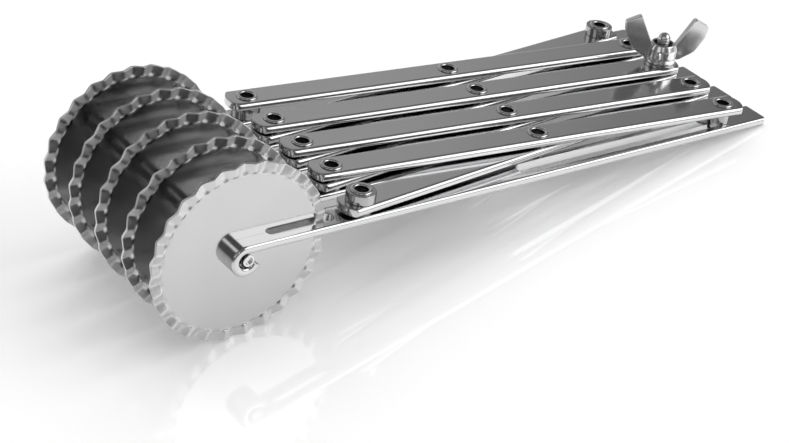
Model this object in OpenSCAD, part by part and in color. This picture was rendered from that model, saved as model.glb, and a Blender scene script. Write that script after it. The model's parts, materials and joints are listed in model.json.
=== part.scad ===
// Expandable dough cutter. Five fluted wheels turn on the curled front ends of five
// flat arms. A lattice of eight flat bars, four above four, spreads the arms and draws
// them together again, and a wing nut on the middle arm clamps the chosen spacing.
//
// The tool is described lying level, with +Y from the wheels to the rear, +Z up and the
// wheels' common axis on X, and is then tipped back to stand on its wheels and on the
// rear ends of its arms. Arm 1 is at the left and arm 5 at the right, seen from the front.
// The finished part stands on the plane Z = 0, centred on X and Y.

/* [Wheels] */
// Outer diameter of a wheel
wheel_d = 55; // [48:1:60]
// Thickness of the sheet a wheel is pressed from
wheel_t = 0.8; // [0.6:0.1:1.2]
// Number of flutes round a wheel's rim
flutes = 26; // [18:1:34]
// Radial depth of the flutes
flute_depth = 3.3; // [2.5:0.1:4.5]
// Sideways travel of the rim from one crest to the next
flute_wave = 1.3; // [1:0.1:2.2]
// Radius of the pin that a wheel turns on
pin_r = 1.8; // [1.5:0.1:1.9]
// Radius of the cup in each end of a wheel pin
pin_cup_r = 1.1; // [0.5:0.1:1.2]
// Depth of the cup in each end of a wheel pin
pin_cup_depth = 0.8; // [0.3:0.1:1.5]
// Length of a wheel pin past each side of its arm
pin_reach = 0.2; // [0.1:0.1:1]

/* [Arms] */
// Width of the flat strip that arms and bars are cut from
strip_w = 10; // [9:0.5:11]
// Thickness of the strip
strip_t = 2.5; // [2.2:0.1:2.6]
// Length of an arm behind the rear rivets with the tool closed
arm_tail = 16.8; // [15:0.2:30]
// Corner radius at an arm's rear end
arm_corner_r = 1.5; // [0.5:0.5:3]
// Gap between a wheel pin and the curl where they come nearest
curl_gap = 0.04; // [0.02:0.01:0.2]
// Distance the curl's centre lies ahead of the pin
curl_ahead = 0.35; // [0:0.05:0.4]
// Distance the curl's centre lies below the pin
curl_below = 0.3; // [0:0.05:0.3]
// Angle below the horizontal at which the curl ends
curl_end_angle = 25; // [10:5:50]
// Gap on each side of the wheel in the slit through the curl
slit_gap = 0.15; // [0.1:0.05:0.4]
// Width of the slot that clears the wheel's fluted rim
rim_slot_w = 4.4; // [4:0.1:5]
// Distance from the wheels' axis to the front of the rim slot
rim_slot_front = 8; // [7:0.5:12]
// Gap behind the wheel's rim in the rim slot
rim_slot_gap = 2.5; // [1.5:0.5:4]

/* [Lattice] */
// Distance between neighbouring holes of a bar
link = 70.5; // [66:0.5:72]
// Radius of a bar's rounded end, about its end hole
bar_end_r = 6.6; // [5.8:0.1:7.5]
// Distance from the wheels' axis to the front pivots
pivot_y = 39; // [38:0.5:44]
// Angle between a bar and an arm with the tool closed
closed_angle = 6.2; // [6:0.1:8]
// Angle between a bar and an arm with the tool fully open
open_angle = 64.7; // [50:0.1:66]
// Thickness of the washers between arms and lower bars
low_washer_t = 0.6; // [0.55:0.05:1]
// Thickness of the washers between lower and upper bars
high_washer_t = 0.4; // [0.3:0.05:0.8]
// Outer radius of the washers
washer_r = 3.9; // [3.4:0.1:4.4]
// Running gap between stacked pieces
play = 0.05; // [0.02:0.01:0.08]

/* [Rivets] */
// Outer radius of a hollow rivet's barrel
barrel_r = 2.5; // [2.3:0.1:2.6]
// Radius of the hole through a rivet
rivet_bore_r = 2.05; // [1.2:0.05:2.1]
// Radius of a rivet's head and of its rolled rim
rivet_head_r = 3.3; // [3.1:0.1:3.8]
// Thickness of a rivet's head under the stack
rivet_head_t = 0.4; // [0.3:0.05:0.4]
// Height of a rivet's rolled rim above the stack
rivet_rim_t = 0.5; // [0.3:0.05:0.8]
// Gap round a barrel in its hole
hole_fit = 0.05; // [0.02:0.01:0.1]
// Gap on each side of a barrel in an arm's slot
slot_fit = 0.1; // [0.05:0.05:0.2]
// Outer radius of the tall collars at the lattice's corners
collar_r = 4.4; // [3.6:0.1:4.6]
// Outer radius of the spacer under the last upper bar
spacer_r = 3; // [2.8:0.1:3.6]

/* [Clamp] */
// Radius of the clamping screw's shank
screw_r = 2.45; // [2.2:0.05:2.5]
// Radius of the thread above the shank
thread_r = 2.05; // [1.8:0.05:2.2]
// Radius of the screw's low head under the middle arm
screw_head_r = 4.2; // [3.6:0.1:4.4]
// Height of the screw's head
screw_head_t = 1.4; // [1:0.1:1.5]
// Length of the screw above the wing nut's crown
screw_tip = 3.4; // [2:0.1:6]
// Outer radius of the clamping washer
clamp_washer_r = 5.2; // [5:0.1:6.6]
// Thickness of the clamping washer
clamp_washer_t = 1.1; // [0.8:0.1:1.6]
// Radius of the wing nut's foot
nut_foot_r = 4.9; // [4.6:0.1:5]
// Radius of the wing nut's crown
nut_crown_r = 3.8; // [3.4:0.1:4.2]
// Height of the wing nut's hub
nut_h = 6.5; // [5.5:0.1:8]
// Distance from the nut's axis to a wing's tip
wing_reach = 13.7; // [12:0.1:15]
// Height of the wings above the nut's foot
wing_h = 15.4; // [13:0.1:17]
// Thickness of a wing
wing_t = 2.2; // [1.6:0.1:2.6]
// Turn of the wings from the X axis
wing_turn = 60; // [0:5:175]

/* [Hidden] */
$fn = 64;

// Plan of the closed lattice
bar_l = 2 * link;
pitch = bar_l * sin(closed_angle);
middle_y = pivot_y + link * cos(closed_angle);
rear_y = pivot_y + bar_l * cos(closed_angle);
open_y = pivot_y + bar_l * cos(open_angle);
arm_rear = rear_y + arm_tail;

// Heights above the wheels' axis, from the arms up to the rivets' rims
curl_in_r = pin_r + norm([curl_ahead, curl_below]) + curl_gap;
curl_r = curl_in_r + strip_t;
arm_z = curl_r - curl_below - strip_t;
arm_top = arm_z + strip_t;
low_z = arm_top + low_washer_t + 2 * play;
low_top = low_z + strip_t;
high_z = low_top + high_washer_t + 2 * play;
high_top = high_z + strip_t;
rim_z = high_top + play;

// Holes and slots
hole_r = barrel_r + hole_fit;
screw_hole_r = screw_r + hole_fit;
thread_hole_r = thread_r + hole_fit;
slot_r = max(barrel_r, screw_r) + slot_fit;
wheel_bore_r = pin_r + hole_fit;
slit_w = wheel_t + 2 * slit_gap;
overlap = 1;

// Heights of the clamp
shank_top = high_z + strip_t / 2;
nut_z = high_top + clamp_washer_t;
crown_z = nut_z + nut_h;
screw_top = crown_z + screw_tip;

// Standing pose: the wheels and the arms' rear ends touch the plane Z = 0
wheel_r = wheel_d / 2;
tilt = atan(arm_z / arm_rear) + asin(wheel_r / norm([arm_rear, arm_z]));
rear_edge_y = arm_rear * cos(tilt) + arm_top * sin(tilt);
centre_y = (rear_edge_y - wheel_r) / 2;

// Places across the tool: arm i, counted 1 to 5 from the left
function arm_x(i) = (i - 3) * pitch;

// Tips the level tool back to its standing pose
module standing() {
    translate([0, -centre_y, wheel_r])
        rotate([-tilt, 0, 0])
            children();
}

// Slot of half width r from y0 to y1, both ends round
module slot_plan(r, y0, y1) {
    translate([-r, y0 + r])
        square([2 * r, y1 - y0 - 2 * r]);
    translate([0, y0 + r])
        circle(r);
    translate([0, y1 - r])
        circle(r);
}

// Flat part of an arm seen from above, with its corners rounded at the rear
module arm_plan() {
    difference() {
        union() {
            translate([-strip_w / 2, -curl_ahead])
                square([strip_w, arm_rear - arm_corner_r + curl_ahead]);
            translate([-strip_w / 2 + arm_corner_r, 0])
                square([strip_w - 2 * arm_corner_r, arm_rear]);
            for (side = [-1, 1])
                translate([side * (strip_w / 2 - arm_corner_r), arm_rear - arm_corner_r])
                    circle(arm_corner_r);
        }
        translate([0, pivot_y])
            circle(hole_r);
        slot_plan(slot_r, open_y - slot_r - slot_fit, rear_y + slot_r + slot_fit);
        slot_plan(rim_slot_w / 2, rim_slot_front, wheel_r + rim_slot_gap);
    }
}

// Curl seen from the side: Y runs along X and Z along Y of the plan
module curl_plan() {
    far = 2 * curl_r;
    difference() {
        circle(curl_r);
        circle(curl_in_r);
        polygon([
            [0, 0],
            [far * cos(curl_end_angle), -far * sin(curl_end_angle)],
            [far, far],
            [0, far]
        ]);
    }
}

// Arm: a strip rolled into an eye at the front and slit there for its wheel
module arm(i) {
    color("gainsboro")
        standing()
            translate([arm_x(i), 0, 0])
                difference() {
                    union() {
                        translate([0, 0, arm_z])
                            linear_extrude(strip_t)
                                arm_plan();
                        translate([-strip_w / 2, -curl_ahead, -curl_below])
                            rotate([90, 0, 90])
                                linear_extrude(strip_w)
                                    curl_plan();
                    }
                    translate([-slit_w / 2, -curl_ahead - curl_r - overlap, -curl_r - curl_below - overlap])
                        cube([
                            slit_w,
                            curl_ahead + curl_r + rim_slot_front + 2 * overlap,
                            2 * curl_r + 2 * overlap
                        ]);
                }
}

// Outline point a of the rim, on the side where s is 1 or -1. Even points stand to one
// side of the sheet's middle plane and odd ones to the other.
function rim_point(a, r, wave, s) =
    let (turn = a * 180 / flutes, lean = (a % 2 == 0) ? wave / 2 : -wave / 2)
    [r * cos(turn), r * sin(turn), lean + s * wheel_t / 2];

// Fluted disc without its bore, flat in the middle and pleated at the rim
module fluted_disc() {
    n = 2 * flutes;
    flat_r = wheel_r - flute_depth;
    points = concat(
        [for (a = [0 : n - 1]) rim_point(a, flat_r, 0, 1)],
        [for (a = [0 : n - 1]) rim_point(a, wheel_r, flute_wave, 1)],
        [for (a = [0 : n - 1]) rim_point(a, wheel_r, flute_wave, -1)],
        [for (a = [0 : n - 1]) rim_point(a, flat_r, 0, -1)]
    );
    // Each ring joins the next by two triangles a step, with the two split alike
    joins = [for (ring = [0 : 2], a = [0 : n - 1])
        let (b = (a + 1) % n, p = ring * n, q = p + n)
        each [[p + a, q + a, p + b], [p + b, q + a, q + b]]];
    polyhedron(
        points = points,
        faces = concat(
            [[for (a = [0 : n - 1]) a]],
            joins,
            [[for (a = [n - 1 : -1 : 0]) 3 * n + a]]
        )
    );
}

// Wheel, turning about X on its pin
module wheel(i) {
    color("silver")
        translate([arm_x(i), -centre_y, wheel_r])
            rotate([0, 90, 0])
                difference() {
                    fluted_disc();
                    cylinder(h = 2 * wheel_t, r = wheel_bore_r, center = true);
                }
}

// Pin in an arm's curl, cupped at both ends, with the wheel between the curl's two halves
module wheel_pin(i) {
    half_l = strip_w / 2 + pin_reach;
    color("lightgray")
        standing()
            translate([arm_x(i), 0, 0])
                rotate([0, 90, 0])
                    difference() {
                        cylinder(h = 2 * half_l, r = pin_r, center = true);
                        for (side = [-1, 1])
                            translate([0, 0, side * half_l])
                                cylinder(h = 2 * pin_cup_depth, r = pin_cup_r, center = true);
                    }
}

// Bar seen from above, from its front hole at the origin to its rear hole on +Y
module bar_plan(front_r, rear_r) {
    difference() {
        intersection() {
            union() {
                circle(bar_end_r);
                translate([-strip_w / 2, 0])
                    square([strip_w, bar_l]);
                translate([0, bar_l])
                    circle(bar_end_r);
            }
            translate([-strip_w / 2, -bar_end_r])
                square([strip_w, bar_l + 2 * bar_end_r]);
        }
        circle(front_r);
        translate([0, link])
            circle(hole_r);
        translate([0, bar_l])
            circle(rear_r);
    }
}

// Bar from the front pivot of arm i. side is 1 where it leans to the right going back.
module bar(i, z, side, rear_r) {
    standing()
        translate([arm_x(i), pivot_y, z])
            rotate([0, 0, -side * closed_angle])
                linear_extrude(strip_t)
                    bar_plan(hole_r, rear_r);
}

// Upper bar k runs from arm k back to arm k + 1
module upper_bar(k) {
    color("gainsboro")
        bar(k, high_z, 1, k == 2 ? screw_hole_r : hole_r);
}

// Lower bar k runs from arm k + 1 back to arm k
module lower_bar(k) {
    color("silver")
        bar(k + 1, low_z, -1, k == 3 ? screw_hole_r : hole_r);
}

// Hollow rivet from the underside of its head at z to its rolled rim on top
module rivet(x, y, z) {
    color("lightgray")
        standing()
            translate([x, y, z])
                difference() {
                    union() {
                        cylinder(h = rivet_head_t, r = rivet_head_r);
                        cylinder(h = rim_z - z + rivet_rim_t, r = barrel_r);
                        translate([0, 0, rim_z - z])
                            cylinder(h = rivet_rim_t / 2, r = rivet_head_r);
                        translate([0, 0, rim_z - z + rivet_rim_t / 2])
                            cylinder(
                                h = rivet_rim_t / 2,
                                r1 = rivet_head_r,
                                r2 = rivet_head_r - rivet_rim_t / 2
                            );
                    }
                    translate([0, 0, -overlap])
                        cylinder(h = rim_z - z + rivet_rim_t + 2 * overlap, r = rivet_bore_r);
                }
}

// Ring round a rivet or the screw, between the heights z0 and z1
module ring(x, y, z0, z1, r_out, r_in) {
    color("darkgray")
        standing()
            translate([x, y, z0])
                difference() {
                    cylinder(h = z1 - z0, r = r_out);
                    translate([0, 0, -overlap])
                        cylinder(h = z1 - z0 + 2 * overlap, r = r_in);
                }
}

// Tall collar at a corner of the lattice
module collar(x, y, z0, z1) {
    ring(x, y, z0, z1, collar_r, hole_r);
}

// Thin washer that fills the gap over an arm
module low_washer(x, y, r_in) {
    ring(x, y, arm_top + play, low_z - play, washer_r, r_in);
}

// Thin washer that fills the gap over a lower bar
module high_washer(x, y, r_in) {
    ring(x, y, low_top + play, high_z - play, washer_r, r_in);
}

// Front rivet, through arm i and the bars that start on it
module front_rivet(i) {
    rivet(arm_x(i), pivot_y, arm_z - rivet_head_t);
}

// Middle rivet, through upper and lower bar k where they cross
module middle_rivet(k) {
    rivet(arm_x(k + 0.5), middle_y, low_z - play - rivet_head_t);
}

// Rear rivet, sliding in the slot of arm i
module rear_rivet(i) {
    rivet(arm_x(i), rear_y, arm_z - play - rivet_head_t);
}

// The two washers on the front rivet of arm i
module front_washers(i) {
    low_washer(arm_x(i), pivot_y, hole_r);
    high_washer(arm_x(i), pivot_y, hole_r);
}

// The two washers on the rear rivet or screw of arm i
module rear_washers(i, r_in) {
    low_washer(arm_x(i), rear_y, r_in);
    high_washer(arm_x(i), rear_y, r_in);
}

// Screw with a low head under the middle arm, a shank through arm and bars in place of
// their rear rivet, and a thinner thread with a domed tip
module clamp_screw() {
    dome_z = screw_top - thread_r;
    head_z = arm_z - play - screw_head_t;
    color("silver")
        standing()
            translate([0, rear_y, 0])
                rotate_extrude()
                    polygon(concat(
                        [
                            [0, head_z],
                            [screw_head_r - screw_head_t / 2, head_z],
                            [screw_head_r, head_z + screw_head_t / 2],
                            [screw_head_r, head_z + screw_head_t],
                            [screw_r, head_z + screw_head_t],
                            [screw_r, shank_top],
                            [thread_r, shank_top]
                        ],
                        [for (a = [0 : 15 : 90]) [thread_r * cos(a), dome_z + thread_r * sin(a)]]
                    ));
}

// Washer under the wing nut
module clamp_washer() {
    ring(0, rear_y, high_top, nut_z, clamp_washer_r, thread_hole_r);
}

// Half of the hub's section: foot, groove, body and hollow crown, from the axis outwards
module hub_section() {
    foot_h = nut_h / 7;
    groove_r = nut_foot_r - 0.5;
    body_r = nut_foot_r - 0.3;
    polygon([
        [thread_hole_r, 0],
        [nut_foot_r - 0.3, 0],
        [nut_foot_r, 0.3],
        [nut_foot_r, foot_h],
        [groove_r, foot_h + 0.3],
        [body_r, nut_h * 0.3],
        [body_r, nut_h * 0.55],
        [(body_r + nut_crown_r) / 2, nut_h * 0.78],
        [nut_crown_r, nut_h * 0.92],
        [nut_crown_r - 0.4, nut_h],
        [nut_crown_r - 0.7, nut_h],
        [thread_hole_r, nut_h * 0.82]
    ]);
}

// One wing seen flat, leaning out from the hub
module wing_plan() {
    polygon([
        [thread_hole_r + 0.5, nut_h * 0.2],
        [wing_reach * 0.42, nut_h * 0.16],
        [wing_reach * 0.62, nut_h * 0.34],
        [wing_reach * 0.82, wing_h * 0.38],
        [wing_reach * 0.95, wing_h * 0.62],
        [wing_reach, wing_h * 0.8],
        [wing_reach * 0.97, wing_h * 0.87],
        [wing_reach * 0.66, wing_h],
        [wing_reach * 0.58, wing_h * 0.97],
        [thread_hole_r + 1.2, nut_h * 0.9],
        [thread_hole_r + 0.5, nut_h * 0.8]
    ]);
}

// Wing nut on the clamping screw
module wing_nut() {
    color("silver")
        standing()
            translate([0, rear_y, nut_z])
                rotate([0, 0, wing_turn])
                    union() {
                        rotate_extrude()
                            hub_section();
                        for (side = [0, 180])
                            rotate([0, 0, side])
                                translate([0, wing_t / 2, 0])
                                    rotate([90, 0, 0])
                                        linear_extrude(wing_t)
                                            wing_plan();
                    }
}

arm(1);  // arm_1
arm(2);  // arm_2
arm(3);  // arm_3
arm(4);  // arm_4
arm(5);  // arm_5
wheel(1);  // wheel_1
wheel(2);  // wheel_2
wheel(3);  // wheel_3
wheel(4);  // wheel_4
wheel(5);  // wheel_5
wheel_pin(1);  // wheel_pin_1
wheel_pin(2);  // wheel_pin_2
wheel_pin(3);  // wheel_pin_3
wheel_pin(4);  // wheel_pin_4
wheel_pin(5);  // wheel_pin_5
lower_bar(1);  // lower_bar_1
lower_bar(2);  // lower_bar_2
lower_bar(3);  // lower_bar_3
lower_bar(4);  // lower_bar_4
upper_bar(1);  // upper_bar_1
upper_bar(2);  // upper_bar_2
upper_bar(3);  // upper_bar_3
upper_bar(4);  // upper_bar_4
front_rivet(1);  // front_rivet_1
front_rivet(2);  // front_rivet_2
front_rivet(3);  // front_rivet_3
front_rivet(4);  // front_rivet_4
front_rivet(5);  // front_rivet_5
collar(arm_x(1), pivot_y, arm_top + play, high_z - play);  // front_collar_1
front_washers(2);  // front_washers_2
front_washers(3);  // front_washers_3
front_washers(4);  // front_washers_4
low_washer(arm_x(5), pivot_y, hole_r);  // front_washer_5
collar(arm_x(5), pivot_y, low_top + play, rim_z);  // front_collar_5
middle_rivet(1);  // middle_rivet_1
middle_rivet(2);  // middle_rivet_2
middle_rivet(3);  // middle_rivet_3
middle_rivet(4);  // middle_rivet_4
high_washer(arm_x(1.5), middle_y, hole_r);  // middle_washer_1
high_washer(arm_x(2.5), middle_y, hole_r);  // middle_washer_2
high_washer(arm_x(3.5), middle_y, hole_r);  // middle_washer_3
high_washer(arm_x(4.5), middle_y, hole_r);  // middle_washer_4
rear_rivet(1);  // rear_rivet_1
rear_rivet(2);  // rear_rivet_2
rear_rivet(4);  // rear_rivet_4
rear_rivet(5);  // rear_rivet_5
collar(arm_x(1), rear_y, low_top, rim_z);  // rear_collar_1
low_washer(arm_x(1), rear_y, hole_r);  // rear_washer_1
rear_washers(2, hole_r);  // rear_washers_2
rear_washers(3, screw_hole_r);  // rear_washers_3
rear_washers(4, hole_r);  // rear_washers_4
ring(arm_x(5), rear_y, arm_top + play, high_z, spacer_r, hole_r);  // rear_spacer_5
clamp_screw();
clamp_washer();
wing_nut();
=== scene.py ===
"""Expandable dough cutter: the finished surfaces of its arms, bars, wheels, rivets and clamp.

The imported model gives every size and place. Each piece is drawn in the tool's own level
frame (X across, Y from the wheels to the rear, Z up, the wheels' axle at its origin) and
is then tipped back with it, so that it lies where the model has it.
"""
import json
import math

import bmesh
import bpy
from bpy.props import FloatProperty, FloatVectorProperty, IntProperty, PointerProperty
from mathutils import Matrix, Vector


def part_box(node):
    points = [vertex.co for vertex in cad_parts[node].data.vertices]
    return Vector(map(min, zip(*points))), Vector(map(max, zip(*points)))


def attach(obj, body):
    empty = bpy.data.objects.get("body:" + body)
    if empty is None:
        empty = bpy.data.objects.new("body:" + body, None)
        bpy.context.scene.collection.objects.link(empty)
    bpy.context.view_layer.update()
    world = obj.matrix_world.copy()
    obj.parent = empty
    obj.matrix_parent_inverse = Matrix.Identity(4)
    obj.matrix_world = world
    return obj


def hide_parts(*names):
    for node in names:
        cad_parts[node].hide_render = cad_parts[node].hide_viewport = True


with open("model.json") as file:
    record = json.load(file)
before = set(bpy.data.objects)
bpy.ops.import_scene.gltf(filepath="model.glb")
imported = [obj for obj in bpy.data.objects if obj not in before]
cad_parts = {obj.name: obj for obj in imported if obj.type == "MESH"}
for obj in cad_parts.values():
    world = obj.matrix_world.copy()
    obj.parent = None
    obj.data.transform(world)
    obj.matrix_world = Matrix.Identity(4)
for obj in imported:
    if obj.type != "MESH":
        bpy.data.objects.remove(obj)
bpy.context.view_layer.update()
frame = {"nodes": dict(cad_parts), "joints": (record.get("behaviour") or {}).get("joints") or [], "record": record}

bl_info = {
    "name": "Expandable Dough Cutter",
    "version": (1, 0, 0),
    "blender": (4, 5, 0),
    "location": "View3D > Sidebar > Dough Cutter",
    "description": "Builds the finished pieces of an expandable five-wheel dough cutter",
    "category": "Object",
}

MM = 0.001
ARMS = range(1, 6)
BARS = range(1, 5)
JOINTS = {joint["name"]: joint for joint in frame["joints"]}


def centre(low_high):
    """Middle of a box given by its two corners."""
    return (low_high[0] + low_high[1]) / 2


# The tool's level frame, from the wheels' axle and the slope of the spreading pivot
SPREAD_AXIS = Vector(JOINTS["spread"]["axis"])
TILT = math.atan2(-SPREAD_AXIS.y, -SPREAD_AXIS.z)
AXLE = centre(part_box("wheel_3"))
TOOL = Matrix.Translation(AXLE) @ Matrix.Rotation(-TILT, 4, "X")


def level_box(node):
    """Lowest and highest corner of a CAD node in the tool's level frame."""
    to_level = TOOL.inverted()
    places = [to_level @ vertex.co for vertex in frame["nodes"][node].data.vertices]
    low = Vector([min(place[axis] for place in places) for axis in range(3)])
    high = Vector([max(place[axis] for place in places) for axis in range(3)])
    return low, high


# Plan of the closed lattice
PIVOT_Y = centre(level_box("front_rivet_3")).y
REAR_Y = centre(level_box("rear_rivet_1")).y
ARM_X = {i: centre(level_box(f"arm_{i}")).x for i in ARMS}
PITCH = ARM_X[2] - ARM_X[1]
BAR_LENGTH = math.hypot(PITCH, REAR_Y - PIVOT_Y)
CLOSED_ANGLE = math.atan2(PITCH, REAR_Y - PIVOT_Y)
OPEN_ANGLE = CLOSED_ANGLE + math.radians(JOINTS["spread"]["range_deg"][1])
OPEN_Y = PIVOT_Y + BAR_LENGTH * math.cos(OPEN_ANGLE)

# Heights of the stack, and the strip that arms and bars are cut from
LOW_Z, LOW_TOP = (corner.z for corner in level_box("lower_bar_1"))
HIGH_Z, HIGH_TOP = (corner.z for corner in level_box("upper_bar_1"))
STRIP_T = HIGH_TOP - HIGH_Z
ARM_LOW, ARM_HIGH = level_box("arm_3")
ARM_TOP = ARM_HIGH.z
ARM_Z = ARM_TOP - STRIP_T
ARM_REAR = ARM_HIGH.y
STRIP_W = ARM_HIGH.x - ARM_LOW.x
HALF_W = STRIP_W / 2

# The curl that holds a wheel's pin
CURL_R = (ARM_HIGH.z - ARM_LOW.z) / 2
CURL_Y = ARM_LOW.y + CURL_R
CURL_Z = ARM_LOW.z + CURL_R

# Wheels, rivets, collars and the clamp
WHEEL_LOW, WHEEL_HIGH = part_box("wheel_3")
WHEEL_R = (WHEEL_HIGH.z - WHEEL_LOW.z) / 2
WHEEL_DEPTH = WHEEL_HIGH.x - WHEEL_LOW.x
PIN_LOW, PIN_HIGH = level_box("wheel_pin_3")
PIN_R = (PIN_HIGH.z - PIN_LOW.z) / 2
BORE_R = frame["record"]["mounts"][0]["dims"]["r_mm"] * MM
NUT_Z = level_box("clamp_washer")[1].z


def radius(node):
    """Outer radius of a turned node that stands across the tool."""
    low, high = level_box(node)
    return (high.x - low.x) / 2


class StripSettings(bpy.types.PropertyGroup):
    """The flat strip of the arms and bars."""
    bar_edge: FloatProperty(
        name="Bar Edge", description="Rounding of a bar's long edges",
        default=1.15 * MM, unit="LENGTH")
    arm_edge: FloatProperty(
        name="Arm Edge", description="Rounding of an arm's long edges",
        default=0.85 * MM, unit="LENGTH")
    end_bevel: FloatProperty(
        name="End Bevel", description="Broken edge round the sheared ends",
        default=0.25 * MM, unit="LENGTH")
    hole_bevel: FloatProperty(
        name="Hole Bevel", description="Broken edge round holes and slots",
        default=0.15 * MM, unit="LENGTH")
    bar_end: FloatProperty(
        name="Bar End", description="Radius of a bar's end about its hole",
        default=6.6 * MM, unit="LENGTH")
    corner: FloatProperty(
        name="Arm Corner", description="Radius of the corners at an arm's rear end",
        default=1.5 * MM, unit="LENGTH")
    curl_end: FloatProperty(
        name="Curl End", description="Angle below the horizontal at which the curl ends",
        default=math.radians(25), subtype="ANGLE")


class HoleSettings(bpy.types.PropertyGroup):
    """Holes, slots and slits in the strips."""
    pivot: FloatProperty(
        name="Pivot Hole", description="Radius of a rivet's hole",
        default=2.55 * MM, unit="LENGTH")
    slot: FloatProperty(
        name="Slot", description="Half width of the slot for a rear rivet",
        default=2.6 * MM, unit="LENGTH")
    slot_fit: FloatProperty(
        name="Slot Fit", description="Spare length past a rear rivet at a slot's end",
        default=0.1 * MM, unit="LENGTH")
    rim_slot: FloatProperty(
        name="Rim Slot", description="Half width of the slot that clears a wheel's rim",
        default=2.2 * MM, unit="LENGTH")
    rim_front: FloatProperty(
        name="Rim Slot Front", description="Front tip of the rim slot, behind the axle",
        default=8 * MM, unit="LENGTH")
    rim_gap: FloatProperty(
        name="Rim Gap", description="Gap behind a wheel in its rim slot",
        default=2.5 * MM, unit="LENGTH")
    slit: FloatProperty(
        name="Slit", description="Half width of the slit through a curl",
        default=0.43 * MM, unit="LENGTH")


class WheelSettings(bpy.types.PropertyGroup):
    """The fluted wheels."""
    sheet: FloatProperty(
        name="Sheet", description="Thickness of the sheet a wheel is pressed from",
        default=0.8 * MM, unit="LENGTH")
    flutes: IntProperty(
        name="Flutes", description="Number of flutes round the rim", default=26, min=8)
    flute_depth: FloatProperty(
        name="Flute Depth", description="Radial length of a flute",
        default=3.5 * MM, unit="LENGTH")
    sharpness: FloatProperty(
        name="Fold Sharpness", description="How sharp the folds are, from 0 to 1",
        default=0.94, min=0.1, max=0.999, subtype="FACTOR")
    dip: FloatProperty(
        name="Dip", description="Share of a flute's depth over which it dips steeply",
        default=0.36, min=0.05, max=1, subtype="FACTOR")
    dip_height: FloatProperty(
        name="Dip Height", description="Share of a flute's lean that the steep dip gives",
        default=0.68, min=0, max=1, subtype="FACTOR")
    edge: FloatProperty(
        name="Rim Edge", description="Rounding of the sheet's outer edge",
        default=0.18 * MM, unit="LENGTH")
    steps: IntProperty(
        name="Steps", description="Faces across one flute", default=16, min=4)


class TurnedSettings(bpy.types.PropertyGroup):
    """Rivets, pins, collars and washers."""
    lip: FloatProperty(
        name="Lip Height", description="Height of a rivet's rolled lip over the stack",
        default=0.45 * MM, unit="LENGTH")
    head: FloatProperty(
        name="Head", description="Thickness of a rivet's head under the stack",
        default=0.4 * MM, unit="LENGTH")
    barrel: FloatProperty(
        name="Barrel", description="Outer radius of a rivet's barrel",
        default=2.5 * MM, unit="LENGTH")
    pin_cup: FloatProperty(
        name="Pin Cup", description="Radius of the cup in each end of a wheel pin",
        default=1.1 * MM, unit="LENGTH")
    pin_cup_depth: FloatProperty(
        name="Pin Cup Depth", description="Depth of the cup in each end of a wheel pin",
        default=0.8 * MM, unit="LENGTH")
    break_edge: FloatProperty(
        name="Broken Edge", description="Rounding of a turned piece's edges",
        default=0.2 * MM, unit="LENGTH")
    steps: IntProperty(
        name="Steps", description="Faces round a turned piece", default=56, min=12)


class ClampSettings(bpy.types.PropertyGroup):
    """The clamping screw and its wing nut."""
    shank_r: FloatProperty(
        name="Shank Radius", description="Radius of the screw's shank in arm and bars",
        default=2.45 * MM, unit="LENGTH")
    thread_r: FloatProperty(
        name="Thread Radius", description="Radius over the screw's thread",
        default=2.05 * MM, unit="LENGTH")
    thread_pitch: FloatProperty(
        name="Thread Pitch", description="Rise of the screw's thread in one turn",
        default=0.7 * MM, unit="LENGTH")
    thread_depth: FloatProperty(
        name="Thread Depth", description="Depth of the screw's thread",
        default=0.25 * MM, unit="LENGTH")
    head_t: FloatProperty(
        name="Screw Head", description="Thickness of the screw's low head",
        default=1.4 * MM, unit="LENGTH")
    crown_r: FloatProperty(
        name="Crown Radius", description="Radius of the wing nut's crown",
        default=3.8 * MM, unit="LENGTH")
    crown_h: FloatProperty(
        name="Crown Height", description="Height of the wing nut's crown over its foot",
        default=6.5 * MM, unit="LENGTH")
    foot_r: FloatProperty(
        name="Foot Radius", description="Radius of the wing nut's foot",
        default=4.9 * MM, unit="LENGTH")
    wing_t: FloatProperty(
        name="Wing Thickness", description="Thickness of the nut's wings",
        default=2.2 * MM, unit="LENGTH")
    wing_turn: FloatProperty(
        name="Wing Turn", description="Turn of the wings from across the tool",
        default=math.radians(60), subtype="ANGLE")
    boss_turn: FloatProperty(
        name="Boss Turn", description="Turn of the small boss from across the tool",
        default=math.radians(-58), subtype="ANGLE")
    boss_r: FloatProperty(
        name="Boss Radius", description="Radius of the small boss on the nut's hub",
        default=1.05 * MM, unit="LENGTH")
    grit: FloatProperty(
        name="Casting Grid", description="Mesh size of the cast nut",
        default=0.12 * MM, unit="LENGTH")


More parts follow.
